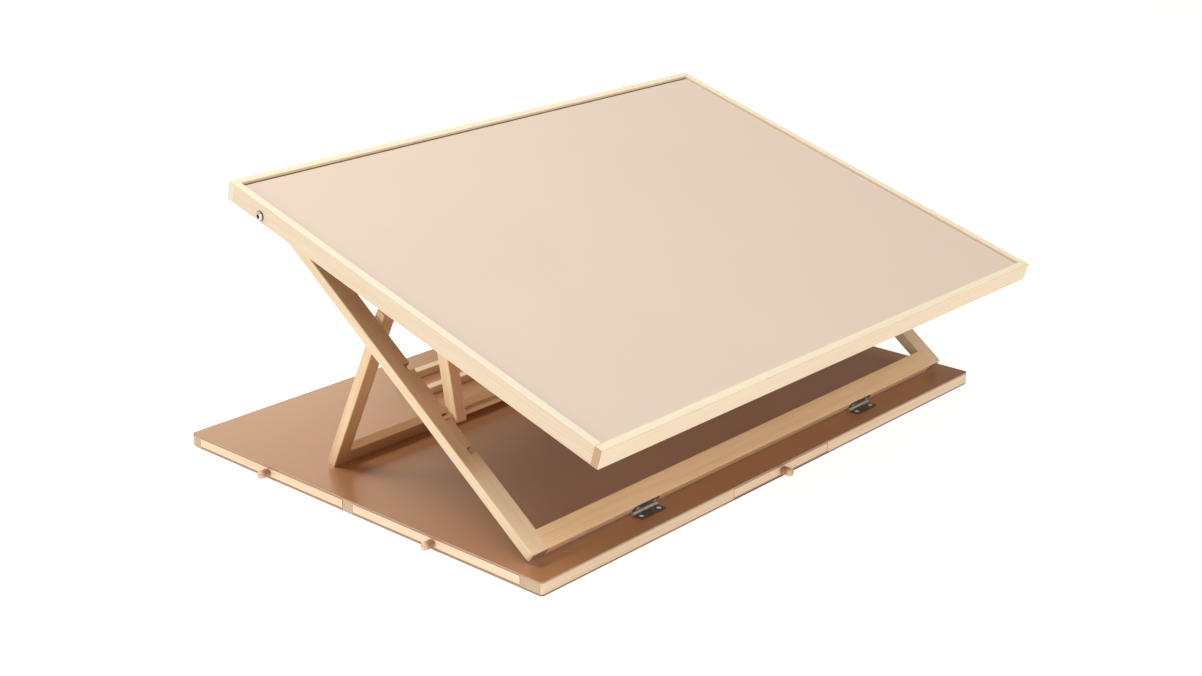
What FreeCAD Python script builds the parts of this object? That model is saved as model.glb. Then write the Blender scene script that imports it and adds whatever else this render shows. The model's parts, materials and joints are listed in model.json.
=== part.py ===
import FreeCAD, Part
import Sketcher
import itertools
import math
import os
import re

# Folding jigsaw puzzle table, in millimetres. The origin is the centre of the
# underside of the base, X runs to the right along the front, Y to the back, Z up.
SIZES = {
    # Base box
    "base_wide": 762.0,
    "base_tall": 16.1,
    "base_corner_radius": 4.0,
    "top_thick": 2.0,
    "floor_thick": 1.5,
    "floor_inset": 1.2,
    "front_rail_deep": 29.1,
    "back_rail_deep": 15.8,
    "middle_rail_deep": 15.9,
    "middle_rail_from_front": 278.6,
    "runner_wide": 15.0,
    "front_drawer_wide": 170.0,
    # Stop strips for the foot of the leg frame
    "strip_wide": 238.0,
    "strip_deep": 12.0,
    "strip_tall": 9.0,
    "strip_corner_radius": 5.0,
    "strip_1_behind_foot": 70.2,
    "strip_spacing": 53.0,
    "strip_2_from_back": 65.4,
    # Drawers
    "drawer_gap": 0.6,
    "drawer_back_gap": 6.0,
    "drawer_face_thick": 12.0,
    "drawer_wall": 6.0,
    "drawer_floor": 2.2,
    "drawer_floor_inset": 1.2,
    "drawer_bottom_gap": 0.4,
    "drawer_headroom": 0.7,
    "knob_radius": 4.7,
    "knob_out": 14.5,
    "knob_neck_radius": 2.6,
    "knob_neck_long": 2.6,
    "knob_tenon_long": 7.0,
    "knob_chamfer": 1.3,
    # Butt hinges between the base and the lift frame
    "hinge_from_front": 33.7,
    "hinge_from_middle": 192.5,
    "hinge_long": 38.0,
    "hinge_leaf_thick": 1.2,
    "hinge_leaf_deep": 12.0,
    "hinge_leaf_corner": 1.6,
    "knuckle_radius": 2.0,
    "knuckle_count": 3.0,
    "knuckle_gap": 0.3,
    "hinge_pin_radius": 1.0,
    "hinge_lift": 0.3,
    "frame_above_base": 1.4,
    "screw_spacing": 27.0,
    "screw_head_radius": 2.6,
    "screw_shank_radius": 1.2,
    "screw_long": 9.0,
    # Lift frame
    "lift_angle": 36.67,
    "board_side_gap": 4.1,
    "rail_wide": 23.4,
    "rail_thick": 12.4,
    "rail_corner_radius": 3.5,
    "board_pivot_along": 468.4,
    "leg_pivot_along": 304.5,
    "notch_1_along": 127.7,
    "notch_2_along": 172.0,
    "notch_3_along": 239.5,
    "notch_into_rail": 8.2,
    "notch_front_gap": 0.3,
    "notch_back_gap": 1.3,
    "notch_floor_gap": 0.3,
    "notch_corner_radius": 1.0,
    # Leg frame
    "leg_angle": 63.875,
    "leg_side_gap": 4.45,
    "leg_wide": 17.5,
    "leg_thick": 12.1,
    "leg_head_long": 13.6,
    "leg_head_rounding": 4.0,
    # Board
    "board_inset": 4.25,
    "board_deep": 558.5,
    "board_angle": 16.64,
    "rim_thick": 9.5,
    "rim_tall": 21.5,
    "sheet_drop": 3.2,
    "sheet_thick": 0.8,
    "panel_thick": 3.5,
    "groove_deep": 3.0,
    "board_pivot_from_back": 57.0,
    "board_pivot_drop": 14.0,
    # Prop under the board
    "prop_pivot_ahead": 232.7,
    "prop_pivot_drop": 18.5,
    "prop_side_gap": 4.45,
    "post_wide": 14.0,
    "post_deep": 14.5,
    "post_below_dowel": 6.5,
    "dowel_radius": 3.5,
    "dowel_drop": 3.7,
    "dowel_end_gap": 0.5,
    "prop_block_wide": 12.0,
    "prop_block_deep": 26.0,
    "prop_block_side_gap": 0.5,
    "prop_block_below_pin": 7.5,
    "prop_block_rounding": 6.0,
    "prop_pin_radius": 2.0,
    "prop_pin_head_radius": 3.6,
    "prop_pin_head_tall": 1.4,
    "prop_pin_head_gap": 0.3,
    # Pivot bolts
    "bolt_radius": 3.0,
    "bolt_head_radius": 5.6,
    "bolt_head_tall": 3.4,
    "bolt_head_chamfer": 1.6,
    "bolt_socket_radius": 2.2,
    "bolt_socket_deep": 1.8,
    "bolt_into_rail": 17.0,
    "spacer_radius": 6.0,
    # Fits and softened edges
    "pin_clearance": 0.08,
    "edge_radius": 0.8,
    "edge_chamfer": 0.7,
    "overrun": 5.0,
}

doc = FreeCAD.newDocument("puzzle_table")
sheet = doc.addObject("Spreadsheet::Sheet", "Sizes")
ROWS = itertools.count(1)


def add_size(name, number):
    row = next(ROWS)
    sheet.set(f"A{row}", name)
    sheet.set(f"B{row}", str(number))
    sheet.setAlias(f"B{row}", name)


for name, number in SIZES.items():
    add_size(name, number)
doc.recompute()

PIECES = []
ALONG_X = FreeCAD.Rotation(FreeCAD.Vector(0, 1, 0), 90)
ALONG_Y = FreeCAD.Rotation(FreeCAD.Vector(1, 0, 0), -90)
ALONG_Z = FreeCAD.Rotation()
TOWARDS_LEFT = FreeCAD.Rotation(FreeCAD.Vector(0, 1, 0), -90)
TOWARDS_FRONT = FreeCAD.Rotation(FreeCAD.Vector(1, 0, 0), 90)
INTO_LEFT_SIDE = FreeCAD.Rotation(FreeCAD.Vector(0, 0, 1), -90)


def size(name):
    return float(sheet.get(name))


def bound(text):
    """An expression with every size name pointed at its cell."""
    return re.sub(r"[a-z]\w*", lambda word: f"Sizes.{word.group()}", text)


def bind(target, **expressions):
    for name, text in expressions.items():
        target.setExpression(name, bound(text))


def bind_place(target, corner):
    for axis, text in zip("xyz", corner):
        target.setExpression(f"Placement.Base.{axis}", bound(text))


def new_body(node, frame=None):
    """A sub-part named after its node, standing in one of the object's frames."""
    body = doc.addObject("PartDesign::Body", node)
    body.Label = node
    if frame is not None:
        body.Placement = frame
    PIECES.append(body)
    return body


def box(body, kind, low, high):
    """A box feature from its low corner to its high corner."""
    solid = body.newObject(f"PartDesign::{kind}Box", f"{body.Name}_{kind}_box")
    for side, near, far in zip(("Length", "Width", "Height"), low, high):
        solid.setExpression(side, bound(f"({far}) - ({near})"))
    bind_place(solid, low)
    doc.recompute()
    return solid


def cylinder(body, kind, turn, start, radius, long):
    """A round feature that starts at a point and runs along one axis."""
    solid = body.newObject(f"PartDesign::{kind}Cylinder", f"{body.Name}_{kind}_round")
    solid.Placement = FreeCAD.Placement(FreeCAD.Vector(), turn)
    bind(solid, Radius=radius, Height=long)
    bind_place(solid, start)
    doc.recompute()
    return solid


def outline(body, role, points):
    """A closed sketch on one of the body's planes, each corner tied to its sizes."""
    sketch = body.newObject("Sketcher::SketchObject", f"{body.Name}_outline")
    plane = next(part for part in body.Origin.OriginFeatures if part.Role == role)
    sketch.AttachmentSupport = (plane, [""])
    sketch.MapMode = "FlatFace"
    starts = [FreeCAD.Vector(*(sheet_value(text) for text in point), 0) for point in points]
    ends = starts[1:] + starts[:1]
    for start, end in zip(starts, ends):
        sketch.addGeometry(Part.LineSegment(start, end), False)
    for line in range(len(points)):
        following = (line + 1) % len(points)
        sketch.addConstraint(Sketcher.Constraint("Coincident", line, 2, following, 1))
    for line, (point, start) in enumerate(zip(points, starts)):
        for kind, text, number in zip(("DistanceX", "DistanceY"), point, (start.x, start.y)):
            place = sketch.addConstraint(Sketcher.Constraint(kind, -1, 1, line, 1, number))
            sketch.setExpression(f"Constraints[{place}]", bound(text))
    doc.recompute()
    return sketch


def sheet_value(text):
    """What an expression of sizes comes to, worked out by the document itself."""
    probe = doc.getObject("probe") or doc.addObject("App::FeaturePython", "probe")
    if "number" not in probe.PropertiesList:
        probe.addProperty("App::PropertyFloat", "number")
    probe.setExpression("number", bound(text))
    probe.recompute()
    answer = float(probe.number)
    doc.removeObject("probe")
    return answer


def pad(body, role, points, start, thick):
    """The outline pushed up from a plane: it starts at start and is thick deep."""
    sketch = outline(body, role, points)
    bind(sketch, **{"AttachmentOffset.Base.z": start})
    solid = body.newObject("PartDesign::Pad", f"{body.Name}_pad")
    solid.Profile = sketch
    bind(solid, Length=thick)
    doc.recompute()
    return solid


def turned(body, points):
    """The outline of radius and height spun about the body's own Z axis."""
    sketch = outline(body, "XZ_Plane", points)
    solid = body.newObject("PartDesign::Revolution", f"{body.Name}_turning")
    solid.Profile = sketch
    solid.ReferenceAxis = (sketch, ["V_Axis"])
    solid.Angle = 360
    doc.recompute()
    return solid


def rounded(body, radius, wanted):
    """The body's edges that pass a test, rounded to a radius."""
    tip = body.Tip
    names = [f"Edge{n}" for n, edge in enumerate(tip.Shape.Edges, start=1) if wanted(edge)]
    solid = body.newObject("PartDesign::Fillet", f"{body.Name}_rounding")
    solid.Base = (tip, names)
    bind(solid, Radius=radius)
    doc.recompute()
    return solid


def eased(body, cut, wanted):
    """The body's edges that pass a test, cut at 45 degrees."""
    tip = body.Tip
    names = [f"Edge{n}" for n, edge in enumerate(tip.Shape.Edges, start=1) if wanted(edge)]
    solid = body.newObject("PartDesign::Chamfer", f"{body.Name}_easing")
    solid.Base = (tip, names)
    bind(solid, Size=cut)
    doc.recompute()
    return solid


def same(first, second):
    """Whether two numbers agree but for rounding."""
    return math.isclose(first, second, rel_tol=1e-6)


def runs(axis, test=lambda middle: True):
    """A test for straight edges along one axis whose middle passes another test."""
    def wanted(edge):
        if edge.Curve.TypeId != "Part::GeomLine":
            return False
        return same(abs(getattr(edge.Curve.Direction, axis)), 1) and test(edge.CenterOfGravity)
    return wanted


def circle_of(radius, height=None):
    """A test for the circular edges of a turned piece with one radius, at one height."""
    def wanted(edge):
        if edge.Curve.TypeId != "Part::GeomCircle" or not same(edge.Curve.Radius, radius):
            return False
        return height is None or same(edge.CenterOfGravity.z, height)
    return wanted


def mirrored(node, source):
    """The right-hand copy of a left-hand piece."""
    copy = doc.addObject("Part::Mirroring", node)
    copy.Label = node
    copy.Source = source
    copy.Normal = (1, 0, 0)
    copy.Base = (0, 0, 0)
    PIECES.append(copy)
    return copy


def pair(node, lefts):
    """Left-hand solids and their mirror images, which share one node."""
    solids = []
    for left in lefts:
        right = mirrored(left.Name + "_copy", left)
        PIECES.remove(left)
        PIECES.remove(right)
        solids += [left, right]
    joined = doc.addObject("Part::Compound", node)
    joined.Label = node
    joined.Links = solids
    PIECES.append(joined)


def local_place(turn, corner):
    """A turn and a place inside one of the object's frames."""
    return FreeCAD.Placement(FreeCAD.Vector(*(sheet_value(text) for text in corner)), turn)


def tilted(angle, along, up):
    """A frame that leans about X, with its own origin at a point of the side view."""
    return FreeCAD.Placement(
        FreeCAD.Vector(0, along, up), FreeCAD.Rotation(FreeCAD.Vector(1, 0, 0), angle)
    )


def side_point(frame, along, up):
    """Where a point of a leaning frame lies in the side view."""
    return frame.multVec(FreeCAD.Vector(0, along, up))


# Places that several pieces share, as expressions
HALF_BASE = "base_wide / 2"
FRONT = "-base_deep / 2"
BACK = "base_deep / 2"
TOP_UNDER = "base_tall - top_thick"
UPRIGHT = "base_tall - top_thick - floor_thick"
RUNNER_IN = "front_drawer_wide / 2 + drawer_gap"
RUNNER_OUT = "front_drawer_wide / 2 + drawer_gap + runner_wide"
MIDDLE_FRONT = f"{FRONT} + middle_rail_from_front"
MIDDLE_BACK = f"{MIDDLE_FRONT} + middle_rail_deep"
HINGE_Y = f"{FRONT} + hinge_from_front"
HINGE_Z = "base_tall + knuckle_radius + hinge_lift"
AXIS_BEFORE_RAIL = "-knuckle_radius - hinge_lift"
AXIS_UNDER_FACE = "-rail_thick + knuckle_radius + hinge_lift - frame_above_base"
RIM_OUT = "(base_wide / 2 - board_inset)"
RIM_IN = f"({RIM_OUT} - rim_thick)"
RAIL_OUT = f"({RIM_IN} - board_side_gap)"
RAIL_IN = f"({RAIL_OUT} - rail_wide)"
LEG_OUT = f"({RAIL_IN} - leg_side_gap)"
LEG_IN = f"({LEG_OUT} - leg_wide)"
POST_OUT = f"({RAIL_IN} - prop_side_gap)"
POST_IN = f"({POST_OUT} - post_wide)"
BOARD_PIVOT = "(board_deep - board_pivot_from_back)"
PROP_PIVOT = f"({BOARD_PIVOT} - prop_pivot_ahead)"

# The legs are as long as their lean needs to stand on the base, and the base is as
# deep as the feet and the strips behind them need
lift_frame = tilted(size("lift_angle"), 0, 0)
leg_pivot = side_point(
    lift_frame,
    size("leg_pivot_along") - sheet_value(AXIS_BEFORE_RAIL),
    -size("rail_thick") / 2 - sheet_value(AXIS_UNDER_FACE),
)
leg_lean = math.radians(size("leg_angle"))
foot_rise = size("leg_thick") / 2 * math.cos(leg_lean)
leg_drop = leg_pivot.z + sheet_value(HINGE_Z) - size("base_tall")
leg_foot_long = (leg_drop - foot_rise) / math.sin(leg_lean)
foot_behind = leg_foot_long * math.cos(leg_lean) + size("leg_thick") / 2 * math.sin(leg_lean)
add_size("leg_foot_long", leg_foot_long)
add_size("foot_from_front", size("hinge_from_front") + leg_pivot.y + foot_behind)
doc.recompute()
STRIP_1 = "foot_from_front + strip_1_behind_foot"
STRIP_2 = f"{STRIP_1} + strip_spacing"
add_size("base_deep", sheet_value(f"{STRIP_2} + strip_2_from_back"))
doc.recompute()

# The frames of the parts that lean, worked out in the side view
hinge_line = FreeCAD.Vector(0, sheet_value(HINGE_Y), sheet_value(HINGE_Z))
lift_frame.Base = hinge_line - side_point(
    lift_frame, sheet_value(AXIS_BEFORE_RAIL), sheet_value(AXIS_UNDER_FACE)
)
board_pivot = side_point(lift_frame, size("board_pivot_along"), -size("rail_thick") / 2)
leg_pivot = side_point(lift_frame, size("leg_pivot_along"), -size("rail_thick") / 2)
leg_frame = tilted(-size("leg_angle"), leg_pivot.y, leg_pivot.z)
board_frame = tilted(size("board_angle"), 0, 0)
board_frame.Base = board_pivot - side_point(
    board_frame, sheet_value(BOARD_PIVOT), -size("board_pivot_drop")
)
prop_pivot = side_point(board_frame, sheet_value(PROP_PIVOT), -size("prop_pivot_drop"))
dowel_centre = side_point(lift_frame, size("notch_2_along"), -size("dowel_drop"))
prop_step = dowel_centre - prop_pivot
prop_angle = math.degrees(math.atan2(prop_step.z, prop_step.y))
prop_frame = tilted(prop_angle, prop_pivot.y, prop_pivot.z)
level = FreeCAD.Placement()
add_size("prop_long", prop_step.Length)
doc.recompute()


def rectangle(x_low, y_low, x_high, y_high):
    return [(x_low, y_low), (x_high, y_low), (x_high, y_high), (x_low, y_high)]


# Base box: a thin sheet over a frame of rails, with a thinner sheet underneath
def base_top_sheet():
    body = new_body("base_top_sheet")
    pad(body, "XY_Plane", rectangle(f"-{HALF_BASE}", FRONT, HALF_BASE, BACK), TOP_UNDER, "top_thick")
    for hinge in (-1, 1):
        for side in (-1, 1):
            screw_hole(body, ALONG_Z, (screw_x(hinge, side), LEAF_SCREW_Y, f"{TOP_UNDER} - overrun"))
    side = size("base_wide") / 2
    rounded(body, "base_corner_radius", runs("z", lambda at: same(abs(at.x), side)))


def base_floor():
    body = new_body("base_floor")
    low_x = f"-{HALF_BASE} + floor_inset"
    high_x = f"{HALF_BASE} - floor_inset"
    corners = rectangle(low_x, f"{FRONT} + floor_inset", high_x, f"{BACK} - floor_inset")
    pad(body, "XY_Plane", corners, "0", "floor_thick")
    rounded(body, "base_corner_radius", runs("z"))


def front_rail():
    body = new_body("front_rail_left")
    corners = rectangle(f"-{HALF_BASE}", FRONT, f"-({RUNNER_IN})", f"{FRONT} + front_rail_deep")
    pad(body, "XY_Plane", corners, "floor_thick", UPRIGHT)
    for side in (-1, 1):
        screw_hole(body, ALONG_Z, (screw_x(-1, side), LEAF_SCREW_Y, f"{LEAF_TOP} - screw_long"))
    side, front = -size("base_wide") / 2, sheet_value(FRONT)
    rounded(body, "base_corner_radius", runs("z", lambda at: same(at.x, side) and same(at.y, front)))
    mirrored("front_rail_right", body)


def back_rail():
    body = new_body("back_rail")
    corners = rectangle(f"-{HALF_BASE}", f"{BACK} - back_rail_deep", HALF_BASE, BACK)
    pad(body, "XY_Plane", corners, "floor_thick", UPRIGHT)
    back = sheet_value(BACK)
    rounded(body, "base_corner_radius", runs("z", lambda at: same(at.y, back)))


def inner_rails():
    middle = new_body("middle_rail_left")
    corners = rectangle(f"-{HALF_BASE}", MIDDLE_FRONT, f"-({RUNNER_OUT})", MIDDLE_BACK)
    pad(middle, "XY_Plane", corners, "floor_thick", UPRIGHT)
    mirrored("middle_rail_right", middle)
    runner = new_body("runner_left")
    front_end = f"{FRONT} + front_rail_deep"
    corners = rectangle(f"-({RUNNER_OUT})", front_end, f"-({RUNNER_IN})", f"{BACK} - back_rail_deep")
    pad(runner, "XY_Plane", corners, "floor_thick", UPRIGHT)
    mirrored("runner_right", runner)


def stop_strip(node, from_front):
    body = new_body(node)
    front = f"{FRONT} + {from_front}"
    corners = rectangle("-strip_wide / 2", front, "strip_wide / 2", f"{front} + strip_deep")
    pad(body, "XY_Plane", corners, "base_tall", "strip_tall")
    rounded(body, "strip_corner_radius", runs("z"))
    top = size("base_tall") + size("strip_tall")
    eased(body, "edge_chamfer", lambda edge: same(edge.BoundBox.ZMin, top))


# Drawers: a floor sheet, with a face and a frame of three walls on it, and a knob
DRAWER_LOW = "floor_thick + drawer_bottom_gap"
FACE_LOW = "floor_thick + drawer_bottom_gap + drawer_floor"
FACE_TOP = "base_tall - top_thick - drawer_headroom"
KNOB_Z = f"({FACE_LOW} + {FACE_TOP}) / 2"


def knob(node):
    """A turned knob whose neck runs on as a tenon in a blind hole of the drawer's face."""
    body = new_body(node)
    points = [
        ("0", "-knob_tenon_long"),
        ("knob_neck_radius", "-knob_tenon_long"),
        ("knob_neck_radius", "knob_neck_long"),
        ("knob_radius", "knob_neck_long"),
        ("knob_radius", "knob_out"),
        ("0", "knob_out"),
    ]
    turned(body, points)
    eased(body, "knob_chamfer", circle_of(size("knob_radius")))
    return body


def drawer_walls(node, half, long):
    """Two sides and a back, drawn as one outline that is open towards the face."""
    body = new_body(node)
    back = f"({long}) - drawer_wall"
    points = [
        (f"-{half}", "drawer_face_thick"),
        (f"-{half} + drawer_wall", "drawer_face_thick"),
        (f"-{half} + drawer_wall", back),
        (f"{half} - drawer_wall", back),
        (f"{half} - drawer_wall", "drawer_face_thick"),
        (half, "drawer_face_thick"),
        (half, long),
        (f"-{half}", long),
    ]
    pad(body, "XY_Plane", points, FACE_LOW, f"{FACE_TOP} - ({FACE_LOW}) - drawer_gap")
    return body


def drawer(name, wide, long, turn, place):
    """A drawer whose own frame starts at the middle of its face and runs into the base."""
    half = f"({wide}) / 2"
    face = new_body(f"drawer_{name}_face")
    box(face, "Additive", (f"-{half}", "0", FACE_LOW), (half, "drawer_face_thick", FACE_TOP))
    hole_start = ("0", "-overrun", KNOB_Z)
    cylinder(face, "Subtractive", ALONG_Y, hole_start, "knob_neck_radius", "overrun + knob_tenon_long")
    floor = new_body(f"drawer_{name}_floor")
    box(floor, "Additive", (f"-{half}", "drawer_floor_inset", DRAWER_LOW), (half, long, FACE_LOW))
    walls = drawer_walls(f"drawer_{name}_walls", half, long)
    handle = knob(f"drawer_{name}_knob")
    x, y = place
    for piece in (face, floor, walls):
        piece.Placement = FreeCAD.Placement(FreeCAD.Vector(), turn)
        bind_place(piece, (x, y, "0"))
    handle.Placement = FreeCAD.Placement(FreeCAD.Vector(), turn.multiply(TOWARDS_FRONT))
    bind_place(handle, (x, y, KNOB_Z))
    return face, floor, walls, handle


def side_drawer(name, low_y, high_y):
    """A drawer between two rails that slides out to the left, and its mirror image."""
    wide = f"({high_y}) - ({low_y}) - 2 * drawer_gap"
    long = f"{HALF_BASE} - ({RUNNER_OUT}) - drawer_back_gap"
    place = (f"-{HALF_BASE}", f"(({low_y}) + ({high_y})) / 2")
    for piece in drawer(f"left_{name}", wide, long, INTO_LEFT_SIDE, place):
        mirrored(piece.Label.replace("left", "right"), piece)


# Butt hinges: two leaves whose knuckles interlock round one pin
HINGE_LEFT = "-hinge_from_middle - hinge_long / 2"
HINGE_RIGHT = "-hinge_from_middle + hinge_long / 2"
KNUCKLE_PITCH = "(hinge_long + knuckle_gap) / knuckle_count"
LEAF_BACK = f"{HINGE_Y} - knuckle_radius - knuckle_gap"
LEAF_FRONT = f"{HINGE_Y} - knuckle_radius - hinge_leaf_deep"
LEAF_TOP = "base_tall + hinge_leaf_thick"
LEAF_LOW = f"{AXIS_UNDER_FACE} + knuckle_radius + knuckle_gap"
LEAF_SCREW_Y = f"{HINGE_Y} - knuckle_radius - hinge_leaf_deep / 2"
LEAF_SCREW_UP = "-rail_thick / 2 + edge_radius"
LEAF_SCREW_TIP = "-hinge_leaf_thick + screw_long"


def screw_x(hinge, side):
    """Across the table, where one of the two screws of a hinge's leaf is."""
    return f"{hinge} * hinge_from_middle + {side} * screw_spacing / 2"


def screw(node, frame, turn, tip):
    """A screw whose sunk head is as tall as the leaf is thick, with its tip at the origin."""
    body = new_body(node)
    points = [
        ("0", "0"),
        ("screw_shank_radius", "hinge_leaf_thick"),
        ("screw_shank_radius", "screw_long - hinge_leaf_thick"),
        ("screw_head_radius", "screw_long"),
        ("0", "screw_long"),
    ]
    turned(body, points)
    body.Placement = frame.multiply(local_place(turn, tip))
    return body


def screw_hole(body, turn, tip):
    """The round hole that one screw needs."""
    wide = "screw_shank_radius + pin_clearance"
    cylinder(body, "Subtractive", turn, tip, wide, "screw_long + overrun")


def countersink(body, turn, start):
    """The cone through a leaf that takes one screw's head."""
    cone = body.newObject("PartDesign::SubtractiveCone", f"{body.Name}_countersink")
    cone.Placement = FreeCAD.Placement(FreeCAD.Vector(), turn)
    low, high = "screw_shank_radius + pin_clearance", "screw_head_radius + pin_clearance"
    bind(cone, Radius1=low, Radius2=high, Height="hinge_leaf_thick")
    bind_place(cone, start)
    doc.recompute()


def leaf_plates():
    """The flat leaves of the left hinge, on the base and on the lift frame's rail."""
    base = new_body("hinge_base_leaf")
    box(base, "Additive", (HINGE_LEFT, LEAF_FRONT, "base_tall"), (HINGE_RIGHT, LEAF_BACK, LEAF_TOP))
    front = sheet_value(LEAF_FRONT)
    rounded(base, "hinge_leaf_corner", runs("z", lambda at: same(at.y, front)))
    frame = new_body("hinge_frame_leaf", lift_frame)
    low = (HINGE_LEFT, "-hinge_leaf_thick", LEAF_LOW)
    box(frame, "Additive", low, (HINGE_RIGHT, "0", "-edge_radius"))
    top = -size("edge_radius")
    rounded(frame, "hinge_leaf_corner", runs("y", lambda at: same(at.z, top)))
    return base, frame


def knuckles(base, frame):
    """Knuckles that belong to the two leaves by turns, bored through for the pin."""
    long = f"{KNUCKLE_PITCH} - knuckle_gap"
    for number in range(int(size("knuckle_count"))):
        near = f"{HINGE_LEFT} + {number} * {KNUCKLE_PITCH}"
        far = f"{near} + {long}"
        if number % 2 == 0:
            box(base, "Additive", (near, LEAF_BACK, "base_tall"), (far, HINGE_Y, LEAF_TOP))
            cylinder(base, "Additive", ALONG_X, (near, HINGE_Y, HINGE_Z), "knuckle_radius", long)
        else:
            box(frame, "Additive", (near, "-hinge_leaf_thick", AXIS_UNDER_FACE), (far, "0", LEAF_LOW))
            start = (near, AXIS_BEFORE_RAIL, AXIS_UNDER_FACE)
            cylinder(frame, "Additive", ALONG_X, start, "knuckle_radius", long)
    bore, bore_long = "hinge_pin_radius + pin_clearance", "hinge_long + 2 * overrun"
    start_x = f"{HINGE_LEFT} - overrun"
    cylinder(base, "Subtractive", ALONG_X, (start_x, HINGE_Y, HINGE_Z), bore, bore_long)
    frame_start = (start_x, AXIS_BEFORE_RAIL, AXIS_UNDER_FACE)
    cylinder(frame, "Subtractive", ALONG_X, frame_start, bore, bore_long)


def leaf_screws(base, frame):
    """Two countersunk screws in each leaf."""
    base_screws, frame_screws = [], []
    for side in (-1, 1):
        x = screw_x(-1, side)
        tip = (x, LEAF_SCREW_Y, f"{LEAF_TOP} - screw_long")
        countersink(base, ALONG_Z, (x, LEAF_SCREW_Y, "base_tall"))
        base_screws.append(screw(f"base_screw_{side + 2}", level, ALONG_Z, tip))
        tip = (x, LEAF_SCREW_TIP, LEAF_SCREW_UP)
        countersink(frame, TOWARDS_FRONT, (x, "0", LEAF_SCREW_UP))
        frame_screws.append(screw(f"frame_screw_{side + 2}", lift_frame, TOWARDS_FRONT, tip))
    return base_screws, frame_screws


def hinges():
    """The left hinge is built and mirrored, and each kind of piece shares one node."""
    base, frame = leaf_plates()
    knuckles(base, frame)
    base_screws, frame_screws = leaf_screws(base, frame)
    pin = new_body("hinge_pin")
    start = (HINGE_LEFT, HINGE_Y, HINGE_Z)
    cylinder(pin, "Additive", ALONG_X, start, "hinge_pin_radius", "hinge_long")
    pair("hinge_base_leaves", [base])
    pair("hinge_frame_leaves", [frame])
    pair("hinge_pins", [pin])
    pair("hinge_base_screws", base_screws)
    pair("hinge_frame_screws", frame_screws)


# Lift frame: two notched rails and a bottom rail, hinged to the base in front
NOTCHES = ("notch_1_along", "notch_2_along", "notch_3_along")


def lift_rails():
    body = new_body("lift_rail_left", lift_frame)
    low = (f"-{RAIL_OUT}", "0", "-rail_thick")
    box(body, "Additive", low, (f"-{RAIL_IN}", "board_pivot_along", "0"))
    end = (f"-{RAIL_OUT}", "board_pivot_along", "-rail_thick / 2")
    cylinder(body, "Additive", ALONG_X, end, "rail_thick / 2", "rail_wide")
    outside = -sheet_value(RAIL_OUT)
    lower_end = size("rail_corner_radius")
    rounded(body, "rail_corner_radius", runs("z", lambda at: same(at.x, outside) and at.y < lower_end))
    eased(body, "edge_chamfer", runs("y", lambda at: same(at.x, outside)))
    notch_floor = "-dowel_drop - dowel_radius - notch_floor_gap"
    for notch in NOTCHES:
        near = f"{notch} - dowel_radius - notch_front_gap"
        far = f"{notch} + dowel_radius + notch_back_gap"
        low = (f"-{RAIL_IN} - notch_into_rail", near, notch_floor)
        box(body, "Subtractive", low, (f"-{RAIL_IN} + overrun", far, "overrun"))
    level_of_floor = sheet_value(notch_floor)
    rounded(body, "notch_corner_radius", runs("x", lambda at: same(at.z, level_of_floor)))
    bolt_hole = "bolt_radius + pin_clearance"
    board_bolt = (f"-{RAIL_OUT} - overrun", "board_pivot_along", "-rail_thick / 2")
    cylinder(body, "Subtractive", ALONG_X, board_bolt, bolt_hole, "overrun + bolt_into_rail")
    leg_bolt = (f"-{RAIL_IN} - bolt_into_rail", "leg_pivot_along", "-rail_thick / 2")
    cylinder(body, "Subtractive", ALONG_X, leg_bolt, bolt_hole, "overrun + bolt_into_rail")
    mirrored("lift_rail_right", body)


def lift_bottom_rail():
    body = new_body("lift_bottom_rail", lift_frame)
    low = (f"-{RAIL_IN}", "0", "-rail_thick")
    box(body, "Additive", low, (RAIL_IN, "rail_wide", "0"))
    face = -size("edge_radius")
    rounded(body, "edge_radius", runs("x", lambda at: at.z > face))
    for hinge in (-1, 1):
        for side in (-1, 1):
            screw_hole(body, TOWARDS_FRONT, (screw_x(hinge, side), LEAF_SCREW_TIP, LEAF_SCREW_UP))


# Bolts that the board and the leg frame turn on
def bolt(node, shank_long, place):
    """A bolt with a bevelled head and a round socket; the head's seat is at its origin."""
    body = new_body(node)
    turned(
        body,
        [
            ("0", f"-({shank_long})"),
            ("bolt_radius", f"-({shank_long})"),
            ("bolt_radius", "0"),
            ("bolt_head_radius", "0"),
            ("bolt_head_radius", "bolt_head_tall"),
            ("bolt_socket_radius", "bolt_head_tall"),
            ("bolt_socket_radius", "bolt_head_tall - bolt_socket_deep"),
            ("0", "bolt_head_tall - bolt_socket_deep"),
        ],
    )
    rim, top = size("bolt_head_radius"), size("bolt_head_tall")
    eased(body, "bolt_head_chamfer", circle_of(rim, top))
    body.Placement = place
    pair(node + "s", [body])


def spacer(node, frame, near, far, along, up):
    """A ring round a bolt that fills the gap beside a rail."""
    body = new_body(node, frame)
    cylinder(body, "Additive", ALONG_X, (near, along, up), "spacer_radius", f"({far}) - ({near})")
    hole = (f"{near} - overrun", along, up)
    hole_long = f"({far}) - ({near}) + 2 * overrun"
    cylinder(body, "Subtractive", ALONG_X, hole, "bolt_radius + pin_clearance", hole_long)
    pair(node + "s", [body])


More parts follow.
